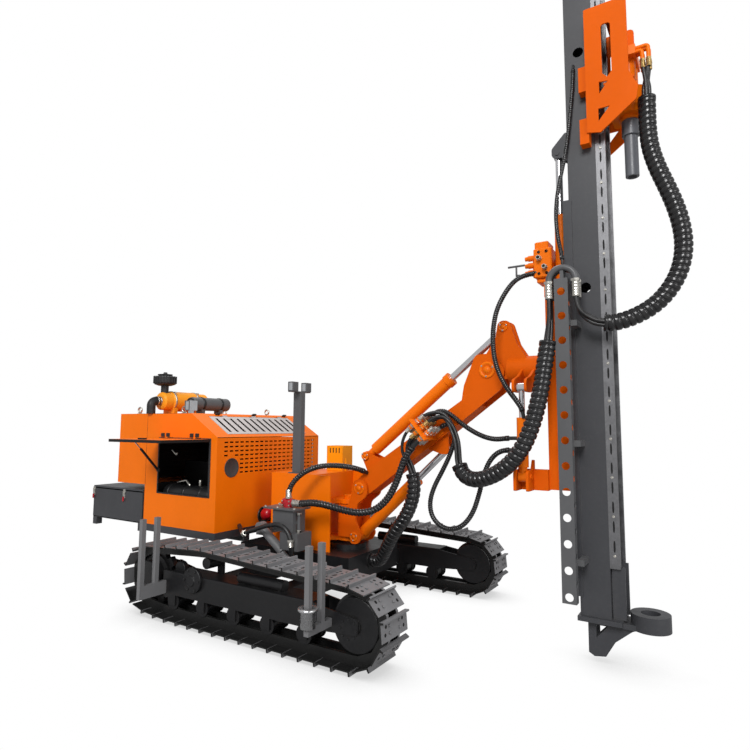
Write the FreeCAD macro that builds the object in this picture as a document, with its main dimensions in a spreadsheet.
import FreeCAD, Part
import math
import os
import re
from FreeCAD import Placement, Rotation, Vector

# Crawler drilling rig with a feed mast, in millimetres. +X points to the mast, +Y to the rig's
# left side, +Z up from the ground. The driving sizes stand in the sheet. Places are worked out
# about the middle of the two tracks and moved by frame_shift_x and frame_shift_y, so that the
# origin lies on the ground under the middle of the whole rig.

SIZES = [
    ("frame_shift_x", -104.5, "middle of the tracks, from the origin"),
    ("frame_shift_y", 111.5, "middle of the tracks, from the origin"),
    # Tracks
    ("track_mid", 960, "middle of a track, from the middle of the rig"),
    ("shoe_width", 320, "shoe, across the rig"),
    ("shoe_count", 40, "shoes on one track"),
    ("shoe_gap", 7, "between two shoes"),
    ("shoe_thick", 8, "shoe plate"),
    ("grouser_tall", 22, "bar on a shoe"),
    ("grouser_thick", 11, "bar on a shoe"),
    ("rail_out", 32, "link rail outside its pins"),
    ("rail_in", 30, "link rail inside its pins"),
    ("rail_thick", 24, "link rail"),
    ("rail_apart", 120, "between the middles of the two link rails"),
    ("pin_radius", 17, "track pin bush"),
    ("wheel_pitch_radius", 213, "pins round the idler and the sprocket"),
    ("idler_x", 965, "idler axle"),
    ("sprocket_x", -1040, "sprocket axle"),
    ("sprocket_lift", 20, "sprocket axle above the idler axle"),
    ("carrier_x", -410, "carrier roller"),
    ("carrier_rise", 62, "top run over the carrier roller, above the idler's"),
    ("roller_tread", 55, "bottom roller, radius where the rails run"),
    ("carrier_tread", 42, "carrier roller, radius where the rails run"),
    ("roller_first_x", -755, "rear bottom roller"),
    ("roller_last_x", 560, "front bottom roller"),
    ("roller_count", 5, "bottom rollers on one track"),
    ("run_gap", 0.4, "between a rail and the wheel it runs on"),
    ("tooth_count", 10, "sprocket teeth"),
    ("sprocket_thick", 46, "sprocket ring"),
    ("drive_radius", 150, "final drive housing"),
    # Track frames and the frame between them
    ("beam_width", 194, "track beam across"),
    ("beam_top", 375, "track beam"),
    ("beam_skirt", 198, "lower edge of the track beam's skirts"),
    ("beam_wall", 9, "track beam plates"),
    ("beam_rear_x", -785, "track beam"),
    ("beam_front_x", 640, "track beam"),
    ("belly_width", 760, "middle frame across"),
    ("belly_bottom", 300, "middle frame"),
    ("belly_top", 500, "middle frame"),
    # Deck and engine canopy
    ("deck_top", 619.7, "deck under the canopy"),
    ("deck_rail", 64, "deck rail, height"),
    ("canopy_half", 703, "canopy side from the middle"),
    ("canopy_rear_x", -2057, "canopy"),
    ("canopy_step_x", -1639, "lower rear wall of the canopy"),
    ("canopy_front_x", -689, "canopy"),
    ("canopy_slope_x", -1029, "top of the canopy's front slope"),
    ("canopy_top", 1633, "canopy roof"),
    ("canopy_bend", 1423, "foot of the canopy's front slope"),
    ("canopy_step", 973, "floor of the canopy's rear overhang"),
    ("sheet_thick", 4, "canopy sheet"),
    ("door_rear_x", -1462, "door opening"),
    ("door_front_x", -764, "door opening"),
    ("door_low", 905, "door opening"),
    ("door_high", 1412, "door opening"),
    ("door_thick", 24, "door with its turned edges"),
    ("door_gap", 6, "round a door in its opening"),
    ("hinge_out", 6, "door hinge axis, out from the canopy side"),
    # Swing column, boom and its cylinders
    ("swing_x", 200, "swing axis"),
    ("boom_foot_x", 380, "boom foot pin"),
    ("boom_foot_z", 1010, "boom foot pin"),
    ("boom_head_x", 1500, "boom head pin"),
    ("boom_head_z", 1950, "boom head pin"),
    ("boom_width", 176, "boom across"),
    ("tilt_pin_x", 1620, "top pin of the mast head"),
    ("tilt_pin_z", 2270, "top pin of the mast head"),
    ("tilt_foot_x", 400, "foot pin of the tilt cylinder"),
    ("tilt_foot_z", 1275, "foot pin of the tilt cylinder"),
    ("lift_foot_x", 330, "foot pin of the lift cylinder"),
    ("lift_foot_z", 610, "foot pin of the lift cylinder"),
    ("lift_eye_x", 1128, "rod eye of the lift cylinder"),
    ("lift_eye_z", 1345, "rod eye of the lift cylinder"),
    ("pin_fit", 0.06, "running clearance of a pin, on the radius"),
    ("part_gap", 6, "side clearance between moving pieces"),
    # Mast
    ("mast_rear_x", 2130, "mast beam"),
    ("mast_depth", 190, "mast beam, fore and aft"),
    ("mast_width", 220, "mast beam across"),
    ("mast_wall", 8, "mast beam"),
    ("mast_low", 300, "mast beam"),
    ("mast_high", 4810, "mast beam"),
    ("guide_depth", 64, "silver guide rail in front of the mast beam"),
    ("guide_width", 24, "silver guide rail across"),
    ("bore_x", 2535, "drill line"),
    ("ring_bore", 58, "radius of the guide ring's bore"),
    ("ring_radius", 118, "guide ring outside"),
    ("ring_top", 350, "guide ring"),
    ("ring_tall", 100, "guide ring"),
    ("spindle_radius", 44, "spindle"),
    ("spindle_bore", 30, "spindle box end"),
    ("spindle_low", 3240, "lower end of the spindle"),
    ("spindle_high", 3530, "top of the plain spindle"),
    ("carriage_high", 4440, "carriage plates"),
    ("carriage_half", 196, "carriage from the middle"),
]

doc = FreeCAD.newDocument("DrillingRig")
sheet = doc.addObject("Spreadsheet::Sheet", "Sizes")
for row, (alias, value, what) in enumerate(SIZES, 1):
    sheet.set(f"A{row}", what)
    sheet.set(f"B{row}", str(value))
    sheet.setAlias(f"B{row}", alias)
doc.recompute()


class Named:
    """The sheet's sizes as plain numbers, by alias."""


S = Named()
for row, (alias, value, what) in enumerate(SIZES, 1):
    setattr(S, alias, float(sheet.get(f"B{row}")))

SIDES = (("right", -1), ("left", 1))
FACING = {
    "top": Rotation(),
    "side": Rotation(Vector(1, 0, 0), 90),
    "front": Rotation(Vector(1, 1, 1), 120),
}
AXES = {"x": Vector(1, 0, 0), "y": Vector(0, 1, 0), "z": Vector(0, 0, 1)}
nodes = []


def spot(x, y, z):
    """A place given about the middle of the tracks."""
    return Vector(x + S.frame_shift_x, y + S.frame_shift_y, z)


def bind(obj, prop, size):
    """A property takes a number, or follows the sheet when its size is given in words."""
    if isinstance(size, str):
        obj.setExpression(prop, re.sub(r"[a-z]\w+", lambda m: "Sizes." + m.group(), size))
    else:
        setattr(obj, prop, size)


def box(corner, length, width, height):
    """A box from its lowest corner. Its three sizes run along X, Y and Z."""
    obj = doc.addObject("Part::Box", "Block")
    bind(obj, "Length", length)
    bind(obj, "Width", width)
    bind(obj, "Height", height)
    obj.Placement = Placement(spot(*corner), Rotation())
    return obj


def bar(start, axis, radius, length):
    """A round bar from the middle of one end."""
    obj = doc.addObject("Part::Cylinder", "Bar")
    bind(obj, "Radius", radius)
    bind(obj, "Height", length)
    way = AXES[axis] if isinstance(axis, str) else axis
    obj.Placement = Placement(spot(*start), Rotation(AXES["z"], way))
    return obj


def rounded(points):
    """Lines and arcs of a closed outline. A third number at a point rounds that corner."""
    corners = [(Vector(p[0], p[1], 0), p[2] if len(p) > 2 else 0) for p in points]
    ends = []
    edges = []
    for i, (here, radius) in enumerate(corners):
        back = (corners[i - 1][0] - here).normalize()
        ahead = (corners[(i + 1) % len(corners)][0] - here).normalize()
        if not radius:
            ends.append((here, here))
            continue
        half = back.getAngle(ahead) / 2
        reach = radius / math.tan(half)
        middle = here + (back + ahead).normalize() * (radius / math.sin(half) - radius)
        ends.append((here + back * reach, here + ahead * reach))
        edges.append(Part.Arc(here + back * reach, middle, here + ahead * reach))
    for i in range(len(ends)):
        start, stop = ends[i - 1][1], ends[i][0]
        if start.distanceToPoint(stop) > 0.001:
            edges.append(Part.LineSegment(start, stop))
    return edges


def plate(points, thick, origin, facing, holes=(), windows=()):
    """A padded outline. Round holes are (u, v, radius); windows are outlines of their own.

    A side plate's pad runs towards -Y from its origin, a front plate's towards +X and a top
    plate's towards +Z."""
    body = doc.addObject("PartDesign::Body", "Plate")
    sketch = body.newObject("Sketcher::SketchObject", "Outline")
    flat = [f for f in body.Origin.OriginFeatures if f.Role == "XY_Plane"][0]
    sketch.AttachmentSupport = (flat, "")
    sketch.MapMode = "FlatFace"
    edges = rounded(points)
    for window in windows:
        edges += rounded(window)
    for u, v, radius in holes:
        edges.append(Part.Circle(Vector(u, v, 0), AXES["z"], radius))
    sketch.addGeometry(edges, False)
    pad = body.newObject("PartDesign::Pad", "Pad")
    pad.Profile = sketch
    bind(pad, "Length", thick)
    body.Placement = Placement(spot(*origin), FACING[facing])
    return body


def turned(points, start, axis):
    """A revolved outline: each point is (along the axis, radius), from start."""
    body = doc.addObject("PartDesign::Body", "Turned")
    sketch = body.newObject("Sketcher::SketchObject", "HalfOutline")
    flat = [f for f in body.Origin.OriginFeatures if f.Role == "XY_Plane"][0]
    sketch.AttachmentSupport = (flat, "")
    sketch.MapMode = "FlatFace"
    sketch.addGeometry(rounded([(p[1], p[0]) + tuple(p[2:]) for p in points]), False)
    spin = body.newObject("PartDesign::Revolution", "Revolution")
    spin.Profile = sketch
    spin.ReferenceAxis = (sketch, ["V_Axis"])
    spin.Angle = 360
    body.Placement = Placement(spot(*start), Rotation(AXES["y"], AXES[axis]))
    return body


def fuse(*parts):
    if len(parts) == 1:
        return parts[0]
    obj = doc.addObject("Part::MultiFuse", "Joined")
    obj.Shapes = list(parts)
    return obj


def cut(base, *tools):
    obj = doc.addObject("Part::Cut", "Cut")
    obj.Base = base
    obj.Tool = fuse(*tools)
    return obj


def solid(shape):
    """A shape made here with the sheet's numbers, held as an object of the document."""
    obj = doc.addObject("Part::Feature", "Form")
    place = shape.Placement
    obj.Shape = shape
    obj.Placement = Placement(spot(0, 0, 0), Rotation()) * place
    return obj


def node(label, *parts):
    """Register a sub-part. Several parts are like pieces that don't touch each other."""
    if len(parts) == 1:
        obj = parts[0]
    else:
        obj = doc.addObject("Part::Compound", "Set")
        obj.Links = list(parts)
    obj.Label = label
    nodes.append(obj)
    return obj


def mirror(obj):
    """The same piece on the other side of the rig's middle plane."""
    other = doc.addObject("Part::Mirroring", "Mirrored")
    other.Source = obj
    other.Normal = (0, 1, 0)
    other.Base = spot(0, 0, 0)
    return other


def both(label, obj):
    return node(label, obj, mirror(obj))


# Track chain: the belt round its wheels

IDLER_Z = S.grouser_tall + S.shoe_thick + S.rail_out + S.wheel_pitch_radius
PIN_GROUND = S.grouser_tall + S.shoe_thick + S.rail_out
ROLLER_Z = PIN_GROUND + S.rail_in + S.run_gap + S.roller_tread
SPROCKET_Z = IDLER_Z + S.sprocket_lift
CARRIER_PIN_Z = IDLER_Z + S.wheel_pitch_radius + S.carrier_rise
CARRIER_Z = CARRIER_PIN_Z - S.rail_in - S.run_gap - S.carrier_tread
BELT = [
    (S.roller_first_x, ROLLER_Z, ROLLER_Z - PIN_GROUND),
    (S.idler_x, IDLER_Z, S.wheel_pitch_radius),
    (S.carrier_x, CARRIER_Z, CARRIER_PIN_Z - CARRIER_Z),
    (S.sprocket_x, SPROCKET_Z, S.wheel_pitch_radius),
]


def belt_spans():
    """Straight and round spans of the pin line, as (length, function of the way along it)."""
    touches = []
    for (x, z, r), (x2, z2, r2) in zip(BELT, BELT[1:] + BELT[:1]):
        apart = math.hypot(x2 - x, z2 - z)
        lean = math.atan2(z2 - z, x2 - x) - math.pi / 2 + math.asin((r - r2) / apart)
        touches.append(lean)
    spans = []
    for i, ((x, z, r), (x2, z2, r2)) in enumerate(zip(BELT, BELT[1:] + BELT[:1])):
        lean = touches[i]
        start = Vector(x + r * math.cos(lean), 0, z + r * math.sin(lean))
        stop = Vector(x2 + r2 * math.cos(lean), 0, z2 + r2 * math.sin(lean))
        spans.append(((stop - start).Length, lambda t, a=start, b=stop: a + (b - a) * t))
        turn = (touches[(i + 1) % len(BELT)] - lean) % (2 * math.pi)
        spans.append((turn * r2, lambda t, c=(x2, z2, r2, lean, turn): Vector(
            c[0] + c[2] * math.cos(c[3] + c[4] * t), 0, c[1] + c[2] * math.sin(c[3] + c[4] * t))))
    return spans


def track_pins():
    """The pins, evenly spaced round the belt."""
    spans = belt_spans()
    whole = sum(length for length, place in spans)
    count = int(S.shoe_count)
    pins = []
    for i in range(count):
        way = whole * i / count
        for length, place in spans:
            if way < length:
                pins.append(place(way / length))
                break
            way -= length
    return pins


def top_run(x):
    """Height of the line through the pins of the top run, at x."""
    pins = track_pins()
    for a, b in zip(pins, pins[1:] + pins[:1]):
        if b.x <= x <= a.x:
            return a.z + (b.z - a.z) * (x - a.x) / (b.x - a.x)


def offset_ring(pins, out):
    """Corners of the pin polygon moved out by a distance, mitred."""
    corners = []
    count = len(pins)
    for i in range(count):
        before = (pins[i] - pins[i - 1]).normalize()
        after = (pins[(i + 1) % count] - pins[i]).normalize()
        normal_1 = Vector(before.z, 0, -before.x)
        normal_2 = Vector(after.z, 0, -after.x)
        middle = (normal_1 + normal_2).normalize()
        corners.append(pins[i] + middle * (out / middle.dot(normal_1)))
    return corners


def prism(points, y, depth):
    """A solid from a closed run of points in a plane across the rig, from y by depth."""
    loop = [Vector(p.x, y, p.z) for p in points]
    face = Part.Face(Part.makePolygon(loop + loop[:1]))
    return face.extrude(Vector(0, depth, 0))


def link_rail(pins, y):
    outer = prism(offset_ring(pins, S.rail_out), y, S.rail_thick)
    inner = prism(offset_ring(pins, -S.rail_in), y - 1, S.rail_thick + 2)
    return outer.cut(inner)


def shoe(start, stop, y):
    """One shoe: a plate with its bar along the leading edge, across two pins' link."""
    along = (stop - start).normalize()
    out = Vector(along.z, 0, -along.x)
    middle = (start + stop) * 0.5
    half = (stop - start).Length / 2 - S.shoe_gap / 2
    foot = S.rail_out - 1
    top = S.rail_out + S.shoe_thick
    outline = [
        (-half, foot), (half, foot), (half, top + S.grouser_tall),
        (half - S.grouser_thick, top + S.grouser_tall), (half - S.grouser_thick * 1.3, top),
        (-half, top),
    ]
    points = [middle + along * t + out * n for t, n in outline]
    return prism(points, y, S.shoe_width)


def make_track(side):
    pins = track_pins()
    low = side * S.track_mid
    shape = link_rail(pins, low - S.rail_apart / 2 - S.rail_thick / 2)
    tools = [link_rail(pins, low + S.rail_apart / 2 - S.rail_thick / 2)]
    for i in range(len(pins)):
        tools.append(shoe(pins[i], pins[(i + 1) % len(pins)], low - S.shoe_width / 2))
    return shape.fuse(tools).removeSplitter()


for name, side in SIDES:
    node(f"track_{name}", solid(make_track(side)))
CARRIER_SEAT_Z = top_run(S.carrier_x) - S.rail_in - 1 - S.carrier_tread

# Wheels of the tracks

LINK_MID = math.sqrt(S.wheel_pitch_radius ** 2 - (S.wheel_pitch_radius * math.sin(
    math.pi / S.tooth_count)) ** 2)
IDLER_TREAD = LINK_MID - S.rail_in - S.run_gap
RAIL_CLEAR = S.rail_apart / 2 - S.rail_thick / 2


def idler():
    rim = RAIL_CLEAR - 4
    wide = S.rail_apart / 2 + 16
    outline = [
        (-wide, 45), (-wide, IDLER_TREAD, 6), (-rim, IDLER_TREAD), (-rim + 8, IDLER_TREAD + 20, 8),
        (rim - 8, IDLER_TREAD + 20, 8), (rim, IDLER_TREAD), (wide, IDLER_TREAD, 6), (wide, 45),
    ]
    return turned(outline, (S.idler_x, -S.track_mid, IDLER_Z), "y")


def idler_axle():
    reach = S.beam_width / 2 - S.beam_wall
    return bar((S.idler_x, -S.track_mid - reach, IDLER_Z), "y", 44.7, 2 * reach)


both("idlers", fuse(idler(), idler_axle()))


def roller(x, z, tread, flange):
    rim = RAIL_CLEAR - 3
    wide = S.rail_apart / 2 + S.rail_thick / 2 + 3
    end = S.beam_width / 2 - S.beam_wall - 0.3
    outline = [
        (-end, 0), (-end, 22), (-wide - 9, 22), (-wide - 9, tread + flange), (-wide, tread + flange),
        (-wide + 1, tread), (-rim, tread), (-rim + 5, tread - 10), (rim - 5, tread - 10),
        (rim, tread), (wide - 1, tread), (wide, tread + flange), (wide + 9, tread + flange),
        (wide + 9, 22), (end, 22), (end, 0),
    ]
    return turned(outline, (x, -S.track_mid, z), "y")


def carrier_roller():
    wide = S.rail_apart / 2 + S.rail_thick / 2
    outline = [
        (-wide, 0), (-wide, S.carrier_tread, 4), (wide, S.carrier_tread, 4),
        (wide, 16), (wide + 30, 16), (wide + 30, 0),
    ]
    return turned(outline, (S.carrier_x, -S.track_mid, CARRIER_SEAT_Z), "y")


ROLLER_STEP = (S.roller_last_x - S.roller_first_x) / (S.roller_count - 1)
ROLLER_XS = [S.roller_first_x + i * ROLLER_STEP for i in range(int(S.roller_count))]
rollers = [roller(x, ROLLER_Z, S.roller_tread, 9) for x in ROLLER_XS]
rollers.append(carrier_roller())
node("rollers", *rollers, *[mirror(r) for r in rollers])


def sprocket():
    """A toothed ring: its hollows hold the pins, its teeth stand between them."""
    root = S.wheel_pitch_radius
    disc = Part.makeCylinder(root + 10, S.sprocket_thick, Vector(0, -S.sprocket_thick / 2, 0),
                             AXES["y"])
    tools = [Part.makeCylinder(S.drive_radius + 0.3, 200, Vector(0, -100, 0), AXES["y"])]
    for i in range(int(S.tooth_count)):
        turn = 2 * math.pi * (i + 0.5) / S.tooth_count
        place = Vector(root * math.cos(turn), -100, root * math.sin(turn))
        tools.append(Part.makeCylinder(S.pin_radius + 13, 200, place, AXES["y"]))
    disc = disc.cut(tools)
    disc.translate(Vector(S.sprocket_x, -S.track_mid, SPROCKET_Z))
    return solid(disc)


both("sprockets", sprocket())


def final_drive():
    near = S.sprocket_thick / 2
    near_plate = S.beam_width / 2 - S.beam_wall - 0.3
    outline = [
        (-226, 0), (-226, 78, 6), (-near_plate, 78), (-near_plate, 92), (-66, 92), (-66, S.drive_radius - 12),
        (-near - 14, S.drive_radius - 12), (-near - 14, S.drive_radius), (near, S.drive_radius),
        (near, S.drive_radius + 16), (near + 16, S.drive_radius + 16), (near + 22, 132),
        (118, 128, 14), (126, 90, 8), (132, 60), (132, 0),
    ]
    flipped = [(-p[0],) + tuple(p[1:]) for p in reversed(outline)]
    return turned(flipped, (S.sprocket_x, -S.track_mid, SPROCKET_Z), "y")


both("final_drives", final_drive())

# Track frames

REAR_GUARD_X = S.sprocket_x + S.drive_radius + 24

def track_beam():
    half = S.beam_width / 2
    deep = half - S.beam_wall
    roof = ROLLER_Z + S.roller_tread + 22
    channel = [
        (-half, S.beam_skirt), (-deep, S.beam_skirt), (-deep, roof), (deep, roof),
        (deep, S.beam_skirt), (half, S.beam_skirt), (half, S.beam_top, 12), (-half, S.beam_top, 12),
    ]
    beam = plate(channel, "beam_front_x - beam_rear_x", (S.beam_rear_x, -S.track_mid, 0), "front")
    parts = [beam]
    for y in (-S.track_mid - deep, -S.track_mid + half):
        parts.append(plate(
            [(S.beam_front_x - 40, S.beam_skirt), (S.idler_x + 35, S.beam_skirt + 25, 30),
             (S.idler_x + 35, IDLER_Z + 45, 30), (S.idler_x - 60, IDLER_Z + 58, 20),
             (S.beam_front_x - 40, S.beam_top)],
            "beam_wall", (0, y, 0), "side"))
    carry_y = -S.track_mid + half
    parts.append(plate(
        [(S.beam_rear_x + 60, S.beam_skirt), (S.sprocket_x - 60, SPROCKET_Z - 130, 90),
         (S.sprocket_x - 120, SPROCKET_Z, 90), (S.sprocket_x - 60, SPROCKET_Z + 125, 90),
         (S.sprocket_x + 110, SPROCKET_Z + 115, 60), (S.beam_rear_x + 60, S.beam_top)],
        "beam_wall", (0, carry_y, 0), "side", holes=[(S.sprocket_x, SPROCKET_Z, 79)]))
    parts.append(plate(
        [(S.beam_rear_x + 60, S.beam_skirt), (-880, 150, 30), (REAR_GUARD_X, 190),
         (REAR_GUARD_X, S.beam_top, 12), (S.beam_rear_x + 60, S.beam_top)],
        "beam_wall", (0, -S.track_mid - deep, 0), "side"))
    for x in ROLLER_XS:
        for y in (-S.track_mid - half, -S.track_mid + deep):
            parts.append(box((x - 36, y, ROLLER_Z - 30), 72, "beam_wall", S.beam_skirt - ROLLER_Z + 31))
    parts.append(bar((-90, -S.track_mid - 20, S.beam_top + 34), "x", 40, 430))
    parts.append(box((-60, -S.track_mid - 45, S.beam_top - 2), 24, 50, 30))
    parts.append(box((300, -S.track_mid - 50, S.beam_top - 2), 20, 60, 66))
    post_y = -S.track_mid + RAIL_CLEAR + S.rail_thick + 3
    post = box((S.carrier_x - 30, post_y, S.beam_top - 2), 60, 22, CARRIER_SEAT_Z - S.beam_top + 30)
    eye = bar((S.carrier_x, post_y - 1, CARRIER_SEAT_Z), "y", "16 + pin_fit", 24)
    parts.append(cut(post, eye))
    return fuse(*parts)


def hub_covers():
    """Bolted covers on the beam's rear end."""
    outer = S.track_mid + S.beam_width / 2
    big = [(0, 0), (0, 96), (26, 96, 5), (34, 44, 4), (44, 40, 4), (44, 0)]
    small = [(0, 0), (0, 58), (40, 58, 6), (40, 0)]
    covers = []
    for outline, x, y, z in ((big, -507, -outer + 1, 346), (small, -742, -S.track_mid, 385)):
        covers.append(turned([(-p[0],) + tuple(p[1:]) for p in reversed(outline)], (x, y, z), "y"))
    return covers


both("track_frames", fuse(track_beam(), *hub_covers()))


CROSS_X = 80
CROSS_TOP = 330


def belly():
    inner = S.track_mid - S.beam_width / 2
    parts = [box((-700, -S.belly_width / 2, S.belly_bottom), 1160, "belly_width",
                 "belly_top - belly_bottom")]
    for x in (-520, CROSS_X):
        parts.append(box((x, -inner, 200), 130, 2 * inner, CROSS_TOP - 200))
    parts.append(bar((S.swing_x, 0, S.belly_top - 4), "z", 150, 44))
    parts.append(bar((459, GLAND_Y, GLAND_Z), "x", 62, 16))
    return fuse(*parts)


GLAND_Y = -65
GLAND_Z = 430
node("center_frame", belly())

# Deck under the canopy


def deck():
    half = S.canopy_half - 1
    front = S.canopy_front_x + 2
    rail_low = S.deck_top - S.deck_rail
    parts = []
    for side in (-1, 1):
        y = side * (half - 30) - 30
        parts.append(box((S.canopy_step_x, y, rail_low), front - S.canopy_step_x, 60, "deck_rail"))
    parts.append(box((S.canopy_step_x, -half, S.deck_top - 10), front - S.canopy_step_x, 2 * half, 10))
    for x in (S.canopy_step_x, -1160, front - 70):
        parts.append(box((x, -half, rail_low), 70, 2 * half, "deck_rail"))
    for y in (-360, 290):
        parts.append(box((S.canopy_step_x, y, S.belly_top), front - S.canopy_step_x, 70,
                         rail_low - S.belly_top + 1))
    return fuse(*parts)


node("deck", deck())

# Canopy: sheets that meet where the real panels do

PANEL = S.canopy_half - S.sheet_thick
DOOR = [(S.door_rear_x, S.door_low), (S.door_front_x, S.door_low),
        (S.door_front_x, S.door_high), (S.door_rear_x, S.door_high)]


def canopy_side(side):
    outline = [
        (S.canopy_rear_x, S.canopy_step), (S.canopy_step_x, S.canopy_step),
        (S.canopy_step_x, S.deck_top + 0.3), (S.canopy_front_x, S.deck_top + 0.3),
        (S.canopy_front_x, S.canopy_bend), (S.canopy_slope_x, S.canopy_top),
        (S.canopy_rear_x, S.canopy_top),
    ]
    y = -PANEL if side < 0 else S.canopy_half
    opening = [p + (14,) for p in DOOR]
    return plate(outline, "sheet_thick", (0, y, 0), "side", windows=[opening])


HINGES = (S.door_rear_x + 130, S.door_front_x - 190)
HINGE_LONG = 60
KNUCKLE = 5


def bent_sheet(points, inward):
    """A folded sheet across the canopy: its outer fold line and where its inside lies."""
    outer = [Vector(x, 0, z) for x, z in points]
    inner = [Vector(p.x + dx, 0, p.z + dz) for p, (dx, dz) in zip(outer, inward)]
    loop = outer + inner[::-1]
    return prism(loop, -PANEL, 2 * PANEL)


def canopy_roof():
    t = S.sheet_thick
    lean = math.atan2(S.canopy_top - S.canopy_bend, S.canopy_front_x - S.canopy_slope_x)
    fold = t * math.tan(lean / 2)
    knee = t * math.tan((math.pi / 2 - lean) / 2)
    roof = bent_sheet(
        [(S.canopy_rear_x, S.canopy_top), (S.canopy_slope_x, S.canopy_top),
         (S.canopy_front_x, S.canopy_bend)],
        [(0, -t), (-fold, -t), (-t, -knee)])
    slope = Vector(math.cos(lean), 0, -math.sin(lean))
    up = Vector(math.sin(lean), 0, math.cos(lean))
    corner = Vector(S.canopy_slope_x, -HATCH_HALF, S.canopy_top) + slope * HATCH_INSET - up * 50
    hole = Part.makeBox(HATCH_LONG, 2 * HATCH_HALF, 100)
    hole.Placement = Placement(corner, Rotation(slope, Vector(0, 1, 0), up))
    return solid(roof.cut(hole))


SLOPE_LONG = math.hypot(S.canopy_top - S.canopy_bend, S.canopy_front_x - S.canopy_slope_x)
HATCH_INSET = 46
HATCH_LONG = SLOPE_LONG - 2 * HATCH_INSET
HATCH_HALF = 545
HATCH_HINGES = (-380, 0, 380)


def canopy_front():
    """The front sheet with its slot field, round vent and the ring's hole."""
    t = S.sheet_thick
    low = S.deck_top + 0.3
    sheet_body = Part.makeBox(t, 2 * PANEL, S.canopy_bend - t - 2 - low,
                              Vector(S.canopy_front_x - t, -PANEL, low))
    vent = Part.makeCylinder(VENT_RADIUS, 3 * t, Vector(S.canopy_front_x - 2 * t, VENT_Y, VENT_Z),
                             AXES["x"])
    port = Part.makeCylinder(64, 3 * t, Vector(S.canopy_front_x - 2 * t, -25, 695), AXES["x"])
    tools = [vent, port]
    for row in range(SLOT_ROWS):
        z = SLOT_TOP - row * SLOT_RISE
        for column in range(SLOT_COLUMNS):
            y = SLOT_FIRST_Y + column * SLOT_PITCH
            if math.hypot(y - VENT_Y, z - VENT_Z) < VENT_RADIUS + 34:
                continue
            tools.append(Part.makeBox(3 * t, SLOT_LONG, SLOT_HIGH,
                                      Vector(S.canopy_front_x - 2 * t, y - SLOT_LONG / 2, z)))
    return solid(sheet_body.cut(tools))


VENT_Y = -530
VENT_Z = 1156
VENT_RADIUS = 78
SLOT_ROWS = 8
SLOT_COLUMNS = 20
SLOT_TOP = 1372
SLOT_RISE = 38
SLOT_FIRST_Y = -598
SLOT_PITCH = 63
SLOT_LONG = 44
SLOT_HIGH = 13
node("canopy_front", canopy_front())


def canopy_rear():
    t = S.sheet_thick
    return solid(bent_sheet(
        [(S.canopy_rear_x, S.canopy_top - t - 0.3), (S.canopy_rear_x, S.canopy_step),
         (S.canopy_step_x, S.canopy_step), (S.canopy_step_x, S.deck_top + 0.3)],
        [(t, 0), (t, t), (t, t), (t, 0)]))


node("canopy_rear", canopy_rear())


def door():
    """A door tray as it hangs shut on the left side, from its hinge axis down, with two knuckles."""
    long = S.door_front_x - S.door_rear_x - 2 * S.door_gap
    tall = S.door_high - S.door_low - 2 * S.door_gap
    wall = 3
    corner = Vector(S.door_rear_x + S.door_gap, -S.hinge_out - S.door_thick, -S.door_gap - tall)
    tray = Part.makeBox(long, S.door_thick, tall, corner)
    hollow = Part.makeBox(long - 2 * wall, S.door_thick, tall - 2 * wall,
                          corner + Vector(wall, -wall, wall))
    tray = tray.cut(hollow)
    handle = Part.makeBox(90, 14, 22, Vector(S.door_front_x - 390, -S.hinge_out - 1, 60 - tall))
    knuckles = []
    for x in HINGES:
        knuckles.append(Part.makeCylinder(KNUCKLE, HINGE_LONG, Vector(x, 0, 0), AXES["x"]))
        knuckles.append(Part.makeBox(HINGE_LONG, 3, 46, Vector(x, -S.hinge_out - 0.5, -46)))
    return tray.fuse([handle] + knuckles)


def door_right():
    """The right door stands open, level, skin upwards."""
    shape = door().mirror(Vector(0, 0, 0), Vector(0, 1, 0))
    shape.rotate(Vector(0, 0, 0), AXES["x"], -90)
    shape.translate(Vector(0, -S.canopy_half - S.hinge_out, S.door_high))
    return solid(shape)


def door_left():
    shape = door()
    shape.translate(Vector(0, S.canopy_half + S.hinge_out, S.door_high))
    return solid(shape)


def hinge_leaves(side):
    """The canopy's half of a door's hinges, and the pins through both halves."""
    y = side * (S.canopy_half + S.hinge_out)
    leaf_y = y if side < 0 else S.canopy_half - 0.5
    parts = []
    for x in HINGES:
        parts.append(bar((x - HINGE_LONG / 2 - 0.3, y, S.door_high), "x", KNUCKLE, HINGE_LONG / 2))
        parts.append(box((x - HINGE_LONG / 2 - 0.3, leaf_y, S.door_high), HINGE_LONG / 2,
                         S.hinge_out + 0.5, 34))
    return parts


node("canopy_right_side", fuse(canopy_side(-1), *hinge_leaves(-1)))
node("canopy_left_side", fuse(canopy_side(1), *hinge_leaves(1)))
node("door_right", door_right())
node("door_left", door_left())


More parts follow.
